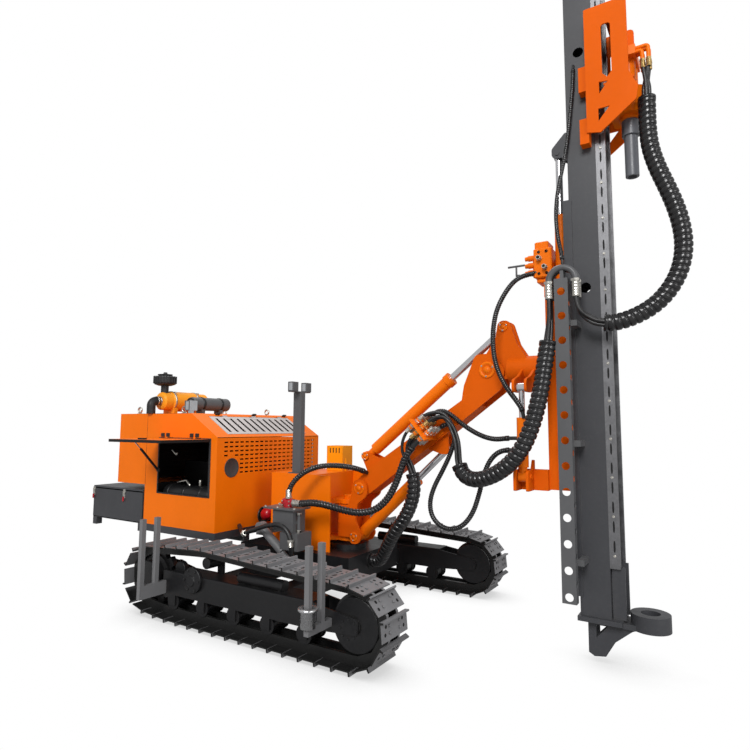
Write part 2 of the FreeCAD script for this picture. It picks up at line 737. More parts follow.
def radiator_hatch():
    """The louvred hatch in the canopy's front slope."""
    lean = math.atan2(S.canopy_top - S.canopy_bend, S.canopy_front_x - S.canopy_slope_x)
    slope = Vector(math.cos(lean), 0, -math.sin(lean))
    up = Vector(math.sin(lean), 0, math.cos(lean))
    gap = 6
    long = HATCH_LONG - 2 * gap
    wide = 2 * (HATCH_HALF - gap)
    panel = Part.makeBox(long, wide, 5)
    tools = []
    count = 12
    for i in range(count):
        y = 60 + i * (wide - 120) / (count - 1)
        tools.append(Part.makeBox(long - 70, 30, 20, Vector(35, y - 15, -5)))
    panel = panel.cut(tools)
    slats = [panel]
    for i in range(count):
        y = 60 + i * (wide - 120) / (count - 1)
        slat = Part.makeBox(long - 68, 3, 26, Vector(34, 0, 0))
        slat.rotate(Vector(0, 0, 0), AXES["x"], 55)
        slat.translate(Vector(0, y + 15.5, 0.5))
        slats.append(slat)
    panel = slats[0].fuse(slats[1:])
    for y in HATCH_HINGES:
        start = y + HATCH_HALF - gap
        panel = panel.fuse([
            Part.makeCylinder(KNUCKLE, HINGE_LONG, Vector(-gap, start, 9), AXES["y"]),
            Part.makeBox(50, HINGE_LONG, 3, Vector(-gap, start, 4.5))])
    corner = Vector(S.canopy_slope_x, -HATCH_HALF + gap, S.canopy_top) + slope * (HATCH_INSET + gap)
    panel.Placement = Placement(corner - up * 4, Rotation(slope, Vector(0, 1, 0), up))
    return solid(panel)


def hatch_leaves():
    """The roof's half of the hatch hinges."""
    lean = math.atan2(S.canopy_top - S.canopy_bend, S.canopy_front_x - S.canopy_slope_x)
    slope = Vector(math.cos(lean), 0, -math.sin(lean))
    up = Vector(math.sin(lean), 0, math.cos(lean))
    shapes = []
    for y in HATCH_HINGES:
        knuckle = Part.makeCylinder(KNUCKLE, HINGE_LONG / 2, Vector(0, y - 0.3 - HINGE_LONG / 2, 5),
                                    AXES["y"])
        leaf = Part.makeBox(34, HINGE_LONG / 2, 3, Vector(-34, y - 0.3 - HINGE_LONG / 2, -0.5))
        shapes.append(knuckle.fuse(leaf))
    both_halves = shapes[0].fuse(shapes[1:])
    corner = Vector(S.canopy_slope_x, 0, S.canopy_top) + slope * HATCH_INSET
    both_halves.Placement = Placement(corner, Rotation(slope, Vector(0, 1, 0), up))
    return solid(both_halves)


node("canopy_roof", fuse(canopy_roof(), hatch_leaves()))
node("radiator_hatch", radiator_hatch())

# Inside and on top of the canopy


def engine_block():
    return fuse(box((-1540, -330, S.deck_top + 0.3), 700, 700, 560))


node("engine_block", engine_block())

ROOF = S.canopy_top + 0.3


NECK_RADIUS = 86


def air_cleaner():
    z = ROOF + 122
    can = turned([(0, 0), (0, 70), (16, NECK_RADIUS, 6), (100, NECK_RADIUS), (110, 97, 5),
                  (400, 97, 8), (430, 88, 6), (520, 88, 10), (540, 60), (540, 0)],
                 (-1600, -605, z), "y")
    feet = [box((-1680, y, ROOF), 160, 40, 60) for y in (-500, -220)]
    return fuse(can, *feet)


def intake_pipe():
    z = ROOF + 122
    stack = cut(bar((-1600, -556, z + 60), "z", 36, 120),
                bar((-1600, -640, z), "y", NECK_RADIUS + 0.3, 160))
    bowl = turned([(0, 0), (0, 60), (12, 96, 5), (30, 104), (82, 104, 8), (96, 70, 10), (100, 0)],
                  (-1600, -556, z + 150), "z")
    return fuse(stack, bowl)


def intake_elbow():
    z = ROOF + 122
    path = Part.Wire([
        Part.LineSegment(Vector(-1600, -605.3, z), Vector(-1600, -650, z)).toShape(),
        Part.Arc(Vector(-1600, -650, z), Vector(-1600, -650 - 50 * math.sin(math.pi / 4),
                 z - 50 * (1 - math.cos(math.pi / 4))), Vector(-1600, -700, z - 50)).toShape(),
        Part.LineSegment(Vector(-1600, -700, z - 50), Vector(-1600, -700, ROOF)).toShape(),
    ])
    ring = Part.Wire(Part.Circle(Vector(-1600, -605.3, z), AXES["y"], 40).toShape())
    return solid(path.makePipeShell([ring], True, False))


def muffler():
    z = ROOF + 92
    can = turned([(0, 0), (0, 52, 8), (10, 62, 6), (440, 62, 12), (450, 50), (450, 0)],
                 (-1215, -560, z), "y")
    feet = [box((-1255, y, ROOF), 80, 40, 50) for y in (-460, -240)]
    return fuse(can, *feet)


def roof_lamp():
    return fuse(box((-1150, -640, ROOF), 30, 40, 26), box((-1165, -665, ROOF + 26), 60, 90, 90))


node("air_cleaner", air_cleaner())
node("intake_pipes", intake_pipe(), intake_elbow())
node("muffler", muffler())

# Rear toolbox

BOX_REAR = -2440
BOX_FRONT = S.canopy_step_x - 22
BOX_HALF = 700
BOX_LOW = 610
BOX_TOP = 905


def toolbox():
    wall = 4
    tub = cut(box((BOX_REAR, -BOX_HALF, BOX_LOW), BOX_FRONT - BOX_REAR, 2 * BOX_HALF,
                  BOX_TOP - BOX_LOW),
              box((BOX_REAR + wall, -BOX_HALF - 5, BOX_LOW + wall), BOX_FRONT - BOX_REAR - 2 * wall,
                  2 * BOX_HALF + 5 - wall, BOX_TOP - BOX_LOW - wall + 1))
    legs = [box((x, y, 540), 60, 60, BOX_LOW - 539)
            for x in (BOX_REAR, BOX_FRONT - 60) for y in (-BOX_HALF, BOX_HALF - 60)]
    seat = box((BOX_FRONT - 1, -BOX_HALF + 60, 556), S.canopy_step_x - BOX_FRONT + 0.7,
               2 * BOX_HALF - 120, 340)
    lid = box((BOX_REAR - 4, -BOX_HALF - 4, BOX_TOP - 1), BOX_FRONT - BOX_REAR + 8,
              2 * BOX_HALF + 8, 15)
    return fuse(tub, lid, seat, *legs)


def toolbox_door():
    return box((BOX_REAR + 2, -BOX_HALF - 4.3, BOX_LOW + 12), BOX_FRONT - BOX_REAR - 4, 4,
               BOX_TOP - BOX_LOW - 24)


node("toolbox", toolbox())
node("toolbox_door", toolbox_door())

# Tank box, lamps, controls and lubricator in front of the canopy

TANK_REAR = -425
TANK_FRONT = 45
TANK_HALF = 300
TANK_TOP = 1117
GUARD_FRONT = 212


def tank_box():
    body = box((TANK_REAR, -TANK_HALF, S.belly_top + 0.3), TANK_FRONT - TANK_REAR, 2 * TANK_HALF,
               TANK_TOP - S.belly_top - 0.3)
    guards = [box((TANK_FRONT - 1, y, S.belly_top + 0.3), GUARD_FRONT - TANK_FRONT + 1, 12,
                  TANK_TOP - S.belly_top - 0.3) for y in (-TANK_HALF, TANK_HALF - 12)]
    return fuse(body, *guards)


node("tank_box", tank_box())


def lamp_post():
    post = box((-215, -275, TANK_TOP + 0.3), 90, 50, 700)
    foot = box((-240, -300, TANK_TOP + 0.3), 140, 100, 8)
    crossbar = box((-196, -372, TANK_TOP + 700), 52, 244, 8)
    return fuse(post, foot, crossbar)


def post_lamps():
    return [box((-195, y, TANK_TOP + 708.3), 55, 66, 80) for y in (-372, -194)]


def control_box():
    return fuse(box((-190, 190, TANK_TOP + 0.3), 180, 160, 225),
                bar((20, 200, TANK_TOP + 0.3), "z", 6, 110))


node("lamp_post", lamp_post())
node("lamps", roof_lamp(), *post_lamps())
node("control_box", control_box())


def lubricator():
    flange = box((-205, -640, 862), 330, 200, 12)
    tank = box((-125, -610, 690), 210, 150, 173)
    skirt = box((-20, -640, 560), 180, 170, 131)
    stay = box((-125, -465, 700), 60, 465 - TANK_HALF - 0.3, 60)
    glass = bar((105, -560, 700), "z", 14, 130)
    clip = box((84, -570, 756), 22, 20, 18)
    return fuse(flange, tank, skirt, stay, glass, clip)


def air_valve():
    body = bar((-70, -540, 908.6), "x", 34, 96)
    neck = bar((-22, -540, 874.3), "z", 40, 34)
    return fuse(body, neck)


node("lubricator", lubricator())
node("air_valve", air_valve())


def leveling_cylinder():
    """Holds the track frame level: from a bracket on the tank to the front cross tube."""
    x, y, z = -300, -550, 690
    low_x, low_z = CROSS_X + 60, CROSS_TOP + 32.3
    way = Vector(low_x - x, 0, low_z - z)
    tube = bar((x, y, z), way, 36, 290)
    shaft = bar((x, y, z), way, 20, way.Length)
    eyes = [bar((x, y - 30, z), "y", 44, 60), bar((low_x, y - 24, low_z), "y", 32, 48)]
    bracket = box((x - 40, y - 20, z - 60), 70, -TANK_HALF - 0.3 - y + 20, 50)
    return fuse(tube, shaft, bracket, *eyes)


node("leveling_cylinder", leveling_cylinder())


# Rod racks on the right track frame

RACK_OUT = 1280
RACK_IN = 1150
RACK_POST = 36
FRONT_RACK_X = 782


def rod_rack(x, low, tall, top):
    """A cradle open to the top: two posts on a saddle, carried by an arm from the track beam."""
    h = RACK_POST / 2
    posts = [box((x - h, y - h, low), RACK_POST, RACK_POST, top - low) for y in (-RACK_OUT, -RACK_IN)]
    saddle = box((x - h, -RACK_OUT - h, low), RACK_POST, RACK_OUT - RACK_IN + RACK_POST, tall)
    arm = box((x - h, -RACK_IN, low), RACK_POST,
              RACK_IN - S.track_mid - S.beam_width / 2 - 0.2, tall)
    return fuse(*posts, saddle, arm)


def guide_bush(x, low):
    """The spare guide bush kept on the front cradle's outer post."""
    return turned([(0, 34), (0, 47), (104, 47), (104, 63, 3), (116, 63, 3), (116, 34)],
                  (x, -RACK_OUT, low), "z")


node("rod_racks", rod_rack(-846, 200, 100, 800),
     fuse(rod_rack(FRONT_RACK_X, 250, 50, 785), guide_bush(FRONT_RACK_X, 299)))

# Swing column and bracket


def swing_column():
    plates = []
    for z in (S.belly_top + 60, 866):
        plates.append(plate(
            [(TANK_FRONT + 0.3, -150), (S.swing_x - 60, -84, 60), (S.swing_x + 84, -84, 80),
             (S.swing_x + 84, 84, 80), (S.swing_x - 60, 84, 60), (TANK_FRONT + 0.3, 150)],
            34, (0, 0, z), "top"))
    pin = bar((S.swing_x, 0, S.belly_top + 44), "z", 44, 390)
    return fuse(*plates, pin)


node("swing_column", swing_column())

CHEEK_IN = S.boom_width / 2 + S.part_gap
CHEEK_THICK = 22
BRACKET_LOW = S.belly_top + 60 + 34 + S.part_gap
BRACKET_HIGH = 866 - S.part_gap


def swing_bracket():
    knuckle = bar((S.swing_x, 0, BRACKET_LOW), "z", 76, BRACKET_HIGH - BRACKET_LOW)
    outline = [
        (S.swing_x - 30, BRACKET_LOW), (S.swing_x + 86, BRACKET_LOW),
        (S.swing_x + 100, S.lift_foot_z - 58, 20), (S.lift_foot_x + 40, S.lift_foot_z - 58, 50),
        (S.lift_foot_x + 75, S.lift_foot_z + 10, 40), (S.lift_foot_x + 10, 740, 60),
        (S.boom_foot_x - 20, 880, 60), (S.boom_foot_x + 80, 955, 70),
        (S.boom_foot_x + 66, 1080, 66), (S.boom_foot_x - 66, 1080, 66),
        (S.boom_foot_x - 84, 930, 60), (S.swing_x + 60, BRACKET_HIGH), (S.swing_x - 30, BRACKET_HIGH),
    ]
    cheeks = [plate(outline, CHEEK_THICK, (0, y, 0), "side")
              for y in (-CHEEK_IN, CHEEK_IN + CHEEK_THICK)]
    web = box((S.swing_x + 5, -CHEEK_IN - 1, BRACKET_LOW), 70, 2 * CHEEK_IN + 2,
              BRACKET_HIGH - BRACKET_LOW)
    hole = bar((S.swing_x, 0, BRACKET_LOW - 5), "z", "44 + pin_fit", 400)
    pin = bar((S.boom_foot_x, -CHEEK_IN - CHEEK_THICK - 12, S.boom_foot_z), "y", 34,
              2 * (CHEEK_IN + CHEEK_THICK + 12))
    foot_pin = bar((S.lift_foot_x, -CHEEK_IN - CHEEK_THICK - 8, S.lift_foot_z), "y", 24,
                   2 * (CHEEK_IN + CHEEK_THICK + 8))
    return fuse(cut(fuse(knuckle, web, *cheeks), hole), pin, foot_pin)


node("swing_bracket", swing_bracket())

# Boom


def along(origin, towards):
    """Unit vectors along and across a line in the plane of the boom."""
    u = Vector(towards[0] - origin[0], 0, towards[1] - origin[1]).normalize()
    return u, Vector(-u.z, 0, u.x)


FOOT = (S.boom_foot_x, S.boom_foot_z)
HEAD = (S.boom_head_x, S.boom_head_z)
BOOM_LONG = math.hypot(HEAD[0] - FOOT[0], HEAD[1] - FOOT[1])
BOOM_LEAN = math.degrees(math.atan2(HEAD[1] - FOOT[1], HEAD[0] - FOOT[0]))


def boom_plate(points, thick, y, holes=()):
    body = plate(points, thick, (FOOT[0], y, FOOT[1]), "side", holes=holes)
    lean = Rotation(AXES["y"], -BOOM_LEAN)
    body.Placement = Placement(spot(FOOT[0], y, FOOT[1]), lean * FACING["side"])
    return body


def on_boom(x, z):
    """A place in the boom's own plane, from its foot pin along and across the boom."""
    u, v = along(FOOT, HEAD)
    way = Vector(x - FOOT[0], 0, z - FOOT[1])
    return way.dot(u), way.dot(v)


def boom():
    half = S.boom_width / 2
    neck = BOOM_LONG - 250
    beam = boom_plate(
        [(-72, -40, 60), (-72, 70, 60), (150, 80, 40), (neck - 50, -38), (neck + 30, 34, 20),
         (neck + 30, -165, 10), (1005, -158, 30), (40, -84, 30)],
        "boom_width", half, holes=[(0, 0, 34 + S.pin_fit)])
    head = [(neck - 60, -45), (neck + 36, 36, 20), (BOOM_LONG + 6, 150, 40),
            (BOOM_LONG + 110, 70, 60), (BOOM_LONG + 100, -90, 60), (BOOM_LONG - 10, -182, 50),
            (neck - 200, -158, 20)]
    forks = [boom_plate(head, 16, y) for y in (-half + 16, half)]
    tx, tz = on_boom(S.tilt_foot_x, S.tilt_foot_z)
    ear = [(tx - 70, 70), (tx - 38, tz + 12, 30), (tx, tz + 42, 30), (tx + 38, tz + 10, 30),
           (tx + 110, 62)]
    ears = [boom_plate(ear, 16, y) for y in (-34, 50)]
    ex, ez = on_boom(S.lift_eye_x, S.lift_eye_z)
    lug = [(ex - 120, -110), (ex - 42, ez - 8, 30), (ex, ez - 46, 30), (ex + 42, ez - 8, 30),
           (ex + 120, -130)]
    lugs = [boom_plate(lug, 14, y) for y in (-34, 48)]
    pin = bar((HEAD[0], -half - 8, HEAD[1]), "y", 38, S.boom_width + 16)
    foot_pin = bar((S.tilt_foot_x, -58, S.tilt_foot_z), "y", 20, 116)
    return fuse(beam, *forks, *ears, *lugs, pin, foot_pin)


node("boom", boom())


MANIFOLD_ALONG = 800
MANIFOLD_THICK = 14
FITTING_RADIUS = 19
FITTING_LONG = 110
FITTING_YS = (-140, -200, -262)
FITTING_RISES = (-95, -35, 25)


def manifold():
    """Bulkhead plate that stands out from the boom's side, with the hose fittings through it."""
    y = -S.boom_width / 2 - 0.3
    u, v = along(FOOT, HEAD)
    corner = Vector(FOOT[0], y - 215, FOOT[1]) + u * MANIFOLD_ALONG + v * -135
    plate_shape = Part.makeBox(MANIFOLD_THICK, 215, 200)
    plate_shape.Placement = Placement(corner, Rotation(u, AXES["y"], v))
    foot = Part.makeBox(90, 10, 200)
    foot.Placement = Placement(corner + Vector(0, 205, 0), Rotation(u, AXES["y"], v))
    parts = [solid(plate_shape.fuse(foot))]
    back = (FITTING_LONG - MANIFOLD_THICK) / 2
    for y_fitting in FITTING_YS:
        for rise in FITTING_RISES:
            place = Vector(FOOT[0], y_fitting, FOOT[1]) + u * (MANIFOLD_ALONG - back) + v * rise
            parts.append(bar(tuple(place), u, FITTING_RADIUS, FITTING_LONG))
    return fuse(*parts)


node("hose_manifold", manifold())

# Cylinders: a hollow barrel with a foot eye, and a rod with its own eye


def barrel(foot, eye, y, radius, rod_radius, start, long, foot_eye, foot_wide):
    u, v = along(foot, eye)
    base = Vector(foot[0], y, foot[1])
    tube = bar(tuple(base + u * start), u, radius, long)
    gland = bar(tuple(base + u * (start + long - 50)), u, radius + 7, 50)
    bore = bar(tuple(base + u * (start + 30)), u, rod_radius + S.pin_fit, long)
    lug = bar((base.x, y - foot_wide / 2, base.z), "y", foot_eye, foot_wide)
    stem = bar(tuple(base), u, foot_eye * 0.8, start + 2)
    return fuse(cut(fuse(tube, gland), bore), lug, stem)


def rod(foot, eye, y, radius, long, eye_radius, eye_wide):
    u, v = along(eye, foot)
    tip = Vector(eye[0], y, eye[1])
    shaft = bar(tuple(tip + u * (eye_radius - 4)), u, radius, long)
    lug = bar((tip.x, y - eye_wide / 2, tip.z), "y", eye_radius, eye_wide)
    return fuse(shaft, lug)


def with_hole(part, x, y, z, radius, wide):
    return cut(part, bar((x, y - wide / 2 - 5, z), "y", radius, wide + 10))


LIFT_FOOT = (S.lift_foot_x, S.lift_foot_z)
LIFT_EYE = (S.lift_eye_x, S.lift_eye_z)
TILT_FOOT = (S.tilt_foot_x, S.tilt_foot_z)
TILT_PIN = (S.tilt_pin_x, S.tilt_pin_z)
node("lift_barrel", with_hole(barrel(LIFT_FOOT, LIFT_EYE, 0, 48, 27, 40, 690, 44, 120),
                              LIFT_FOOT[0], 0, LIFT_FOOT[1], 24 + S.pin_fit, 120))
node("lift_rod", rod(LIFT_FOOT, LIFT_EYE, 0, 27, 700, 36, 56))
node("tilt_barrel", with_hole(barrel(TILT_FOOT, TILT_PIN, 0, 50, 28, 90, 910, 40, 56),
                              TILT_FOOT[0], 0, TILT_FOOT[1], 20 + S.pin_fit, 56))
node("tilt_rod", rod(TILT_FOOT, TILT_PIN, 0, 28, 900, 38, 60))

# Mast head: tilts on the boom, and carries the leaning mast carrier

LEAN_Z = S.boom_head_z
HEAD_FACE = 1890
CARRIER_REAR = HEAD_FACE + S.part_gap
LEAN_EYE = (1810, -250, 1800)
LEAN_FOOT = (1810, -250, 1190)


def tilt_head():
    inner = S.boom_width / 2 - 16 - S.part_gap
    hub = bar((HEAD[0], -inner, HEAD[1]), "y", 70, 2 * inner)
    hole = bar((HEAD[0], -inner - 5, HEAD[1]), "y", "38 + pin_fit", 2 * inner + 10)
    neck = [(HEAD[0] - 66, HEAD[1] - 10, 60), (HEAD[0] - 40, HEAD[1] + 90, 60),
            (TILT_PIN[0] - 62, TILT_PIN[1] - 80, 60), (TILT_PIN[0] - 40, TILT_PIN[1] + 52, 46),
            (TILT_PIN[0] + 46, TILT_PIN[1] + 44, 46), (1720, 2140, 60), (1790, 2030, 20),
            (1790, 1880, 20), (HEAD[0] + 40, HEAD[1] - 70, 50)]
    plates = [plate(neck, 20, (0, y, 0), "side") for y in (-36, 56)]
    boss = bar((HEAD[0] + 150, 0, LEAN_Z), "x", 96, HEAD_FACE - HEAD[0] - 150)
    shaft = bar((HEAD_FACE - 2, 0, LEAN_Z), "x", 50, 90)
    ear = [(-310, 1765, 30), (-190, 1765, 20), (-60, 1860), (-60, 1960), (-200, 1880, 40),
           (-310, 1850, 40)]
    ears = [plate(ear, 18, (x, 0, 0), "front") for x in (LEAN_EYE[0] - 52, LEAN_EYE[0] + 34)]
    return fuse(cut(fuse(hub, *plates), hole), boss, shaft, *ears)


node("tilt_head", tilt_head())


def mast_carrier():
    """Back plate that leans on the head, with guides for the mast and the foot of the lean cylinder."""
    t = 26
    x = CARRIER_REAR + 60
    back = plate([(-141, 1100), (141, 1100), (141, 2470, 30), (-141, 2470, 30)],
                 t, (x, 0, 0), "front")
    walls = [plate([(x, 1100), (x + 162, 1100, 20), (x + 162, 2470, 60), (x, 2470)],
                   14, (0, y, 0), "side") for y in (-127, 141)]
    pads = [box((x + t - 1, y, z), 137, 24, 200) for y in (-103, 79) for z in (1120, 2060)]
    boss = bar((CARRIER_REAR, 0, LEAN_Z), "x", 110, x - CARRIER_REAR + 1)
    hole = bar((CARRIER_REAR - 5, 0, LEAN_Z), "x", "50 + pin_fit", 140)
    foot = [(-310, 1095, 10), (-150, 1095), (-150, 1330, 10), (-200, 1235, 20), (-310, 1235, 30)]
    feet = [plate(foot, 18, (a, 0, 0), "front") for a in (LEAN_FOOT[0] - 52, LEAN_FOOT[0] + 34)]
    shelf = box((LEAN_FOOT[0] - 52, -180, 1095), x - LEAN_FOOT[0] + 54, 60, 140)
    pin = bar((LEAN_FOOT[0] - 60, LEAN_FOOT[1], LEAN_FOOT[2]), "x", 20, 120)
    ears = [box((x + t - 1, y, 2350), 100, 12, 90) for y in (-46, 34)]
    slide_pin = bar((2045, -50, 2398), "y", 16, 100)
    return fuse(cut(fuse(back, boss), hole), *walls, *pads, *feet, shelf, pin, *ears, slide_pin)


node("mast_carrier", mast_carrier())


def lean_barrel():
    tube = bar((LEAN_FOOT[0], LEAN_FOOT[1], LEAN_FOOT[2] + 62), "z", 38, 338)
    bore = bar((LEAN_FOOT[0], LEAN_FOOT[1], LEAN_FOOT[2] + 80), "z", "20 + pin_fit", 400)
    lug = fuse(bar((LEAN_FOOT[0] - 28, LEAN_FOOT[1], LEAN_FOOT[2]), "x", 36, 56),
               bar(LEAN_FOOT, "z", 28, 64))
    hole = bar((LEAN_FOOT[0] - 35, LEAN_FOOT[1], LEAN_FOOT[2]), "x", "20 + pin_fit", 70)
    return cut(fuse(cut(tube, bore), lug), hole)


def lean_rod():
    shaft = bar((LEAN_EYE[0], LEAN_EYE[1], LEAN_EYE[2] - 440), "z", 20, 415)
    lug = bar((LEAN_EYE[0] - 28, LEAN_EYE[1], LEAN_EYE[2]), "x", 30, 56)
    return fuse(shaft, lug)


node("lean_barrel", lean_barrel())
node("lean_rod", lean_rod())

# Mast

MAST_FRONT = S.mast_rear_x + S.mast_depth
SLIDE_X = 2045
SLIDE_PIN_Z = 3520
SLIDE_FOOT_Z = 2398


def slide_lugs():
    """Ears on the back of the mast with the pin of the slide cylinder's rod."""
    outline = [(S.mast_rear_x + 1, 3440), (S.mast_rear_x + 1, 3660), (S.mast_rear_x - 30, 3660, 10),
               (SLIDE_X - 40, 3560, 34), (SLIDE_X - 40, 3490, 34), (SLIDE_X + 30, 3480, 10)]
    ears = [plate(outline, 14, (0, y, 0), "side") for y in (-30, 44)]
    return ears + [bar((SLIDE_X, -50, SLIDE_PIN_Z), "y", 16, 100)]


def mast_beam():
    half = S.mast_width / 2
    beam = cut(box((S.mast_rear_x, -half, S.mast_low), "mast_depth", "mast_width",
                   "mast_high - mast_low"),
               box((S.mast_rear_x + S.mast_wall, -half + S.mast_wall, S.mast_low - 1),
                   "mast_depth - 2 * mast_wall", "mast_width - 2 * mast_wall",
                   "mast_high - mast_low + 2"))
    eye = [bar((S.mast_rear_x + 95, -half - 1, z), "y", 36, 2 * half + 2) for z in (2480, 4200)]
    flanges = [box((S.mast_rear_x - 40, y, 420), 41, 12, 2700) for y in (-half - 11, half - 1)]
    flanges += [box((S.mast_rear_x, y, 420), 20, 12, 2700) for y in (-half - 11, half - 1)]
    return fuse(cut(beam, *eye), *flanges, *slide_lugs())


def guide_rails():
    half = S.mast_width / 2
    rails = []
    for y in (-half, half - S.guide_width):
        rails.append(box((MAST_FRONT + 0.3, y, S.mast_low + 320), "guide_depth", "guide_width",
                         S.mast_high - S.mast_low - 360))
    return rails


node("mast_beam", mast_beam())
node("guide_rails", *guide_rails())


def slide_barrel():
    tube = bar((SLIDE_X, 0, 2446), "z", 42, 614)
    bore = bar((SLIDE_X, 0, 2500), "z", "24 + pin_fit", 600)
    lug = bar((SLIDE_X, -33.7, SLIDE_FOOT_Z), "y", 32, 67.4)
    stem = bar((SLIDE_X, 0, SLIDE_FOOT_Z), "z", 30, 60)
    hole = bar((SLIDE_X, -40, SLIDE_FOOT_Z), "y", "16 + pin_fit", 80)
    return cut(fuse(cut(tube, bore), lug, stem), hole)


def slide_rod():
    shaft = bar((SLIDE_X, 0, 2870), "z", 24, 630)
    lug = bar((SLIDE_X, -26, SLIDE_PIN_Z), "y", 32, 52)
    return cut(fuse(shaft, lug), bar((SLIDE_X, -31, SLIDE_PIN_Z), "y", "16 + pin_fit", 62))


node("slide_barrel", slide_barrel())
node("slide_rod", slide_rod())


CHAIN_WHEEL = 27
CHAIN_LOW = S.mast_low + 290 + CHAIN_WHEEL + 0.3


def feed_chains():
    chains = []
    for y in (-60, 28):
        chains.append(box((MAST_FRONT + 14, y, CHAIN_LOW), 30, 32, S.mast_high - 40 - CHAIN_LOW))
    return chains


node("feed_chains", *feed_chains())


def mast_foot():
    half = S.mast_width / 2
    z = S.mast_low - 0.3
    flange = box((S.mast_rear_x - 15, -half - 30, z - 30), 270, 2 * half + 60, 30)
    uprights = [box((MAST_FRONT + 5, y, z - 1), 80, 14, 330) for y in (-half + 30, half - 44)]
    outline = [(2165, z - 29), (2165, 60), (2200, 40), (2270, 50), (2330, 150), (2440, 240, 60),
               (S.bore_x - 20, 250), (S.bore_x - 20, 272)]
    webs = [plate(outline, 16, (0, y, 0), "side", windows=[[(2215, 240), (2215, 160), (2290, 240)]])
            for y in (-50, 66)]
    arm = box((2380, -half + 20, S.ring_top - S.ring_tall), S.bore_x - 2380 - 70, 2 * half - 40, 34)
    wheel_x, wheel_z = MAST_FRONT + 29, CHAIN_LOW - 0.3 - CHAIN_WHEEL
    shaft = bar((wheel_x, -half + 36, wheel_z), "y", 20, 2 * half - 72)
    wheels = [bar((wheel_x, y, wheel_z), "y", CHAIN_WHEEL, 28) for y in (-58, 30)]
    return fuse(flange, *uprights, *webs, arm, shaft, *wheels)


def ring():
    z = S.ring_top - S.ring_tall
    body = bar((S.bore_x, 0, z), "z", "ring_radius", "ring_tall")
    bore = bar((S.bore_x, 0, z - 5), "z", "ring_bore", "ring_tall + 10")
    return body, bore


def foot_with_ring():
    body, bore = ring()
    return cut(fuse(mast_foot(), body), bore)


node("mast_foot", foot_with_ring())


def hose_guide():
    """Perforated channel that carries the hoses up the mast."""
    low, high = 410, 2520
    wall = 4
    y_out, y_in = -300, -240
    x_rear, x_front = 2060, 2150
    outer = Part.makeBox(x_front - x_rear, y_in - y_out, high - low, Vector(x_rear, y_out, low))
    hollow = Part.makeBox(x_front - x_rear - 2 * wall, y_in - y_out, high - low + 2,
                          Vector(x_rear + wall, y_out + wall, low - 1))
    tools = [hollow]
    for i in range(13):
        z = high - 90 - i * 165
        tools.append(Part.makeCylinder(26, 20, Vector((x_rear + x_front) / 2, y_out - 5, z), AXES["y"]))
        if i < 12:
            tools.append(Part.makeCylinder(22, 20, Vector(x_front - 10, (y_out + y_in) / 2, z - 82),
                                           AXES["x"]))
    return solid(outer.cut(tools))


def hose_brackets():
    return [box((2152, -240.5, z), 38, 240.5 - S.mast_width / 2 - 0.3, 40) for z in (640, 1400, 2200)]


def hose_seats():
    """Tabs that join the channel to its brackets."""
    return [box((2130, -244, z), 60, 4, 40) for z in (640, 1400, 2200)]


PIPE_RADIUS = 21
PIPE_YS = (-294, -246)
BEND_X = 2112
BEND_Z = 2505
BEND_RADIUS = 88
FERRULE_RADIUS = 23.7
FERRULE_LONG = 120


def pipe_bend(y):
    """A half-round steel pipe over the channel's top, with a ferrule below each end."""
    rear, front = BEND_X - BEND_RADIUS, BEND_X + BEND_RADIUS
    path = Part.Wire([Part.Arc(Vector(rear, y, BEND_Z), Vector(BEND_X, y, BEND_Z + BEND_RADIUS),
                               Vector(front, y, BEND_Z)).toShape()])
    ring = Part.Wire(Part.Circle(Vector(rear, y, BEND_Z), AXES["z"], PIPE_RADIUS).toShape())
    pipe = path.makePipeShell([ring], True, False)
    ferrules = [Part.makeCylinder(FERRULE_RADIUS, FERRULE_LONG, Vector(x, y, BEND_Z - FERRULE_LONG))
                for x in (rear, front)]
    return solid(pipe.fuse(ferrules))


def bend_saddle():
    """Strap that holds the bent pipes on the channel's top."""
    low = BEND_Z + BEND_RADIUS - PIPE_RADIUS - 2
    return [box((BEND_X - 12, -300, 2519), 24, 60, low + 4 - 2519)]


node("hose_guide", fuse(hose_guide(), *hose_brackets(), *hose_seats(), *bend_saddle(),
                        *[pipe_bend(y) for y in PIPE_YS]))


def feed_drive():
    case = turned([(0, 0), (0, 80, 6), (60, 80), (70, 110, 6), (170, 110, 6), (190, 70), (190, 0)],
                  (S.mast_rear_x - 95, 152, 2700), "y")
    motor = bar((S.mast_rear_x - 95, 340, 2700), "y", 60, 110)
    seat = box((S.mast_rear_x - 5, S.mast_width / 2 + 11.3, 2620), 100, 60, 160)
    flange = box((S.mast_rear_x - 70, 151, 2620), 165, 12, 160)
    return fuse(case, motor, seat, flange)


node("feed_drive", feed_drive())

# Feed carriage with the rotary gearbox


SLIDE_FIT = 0.3


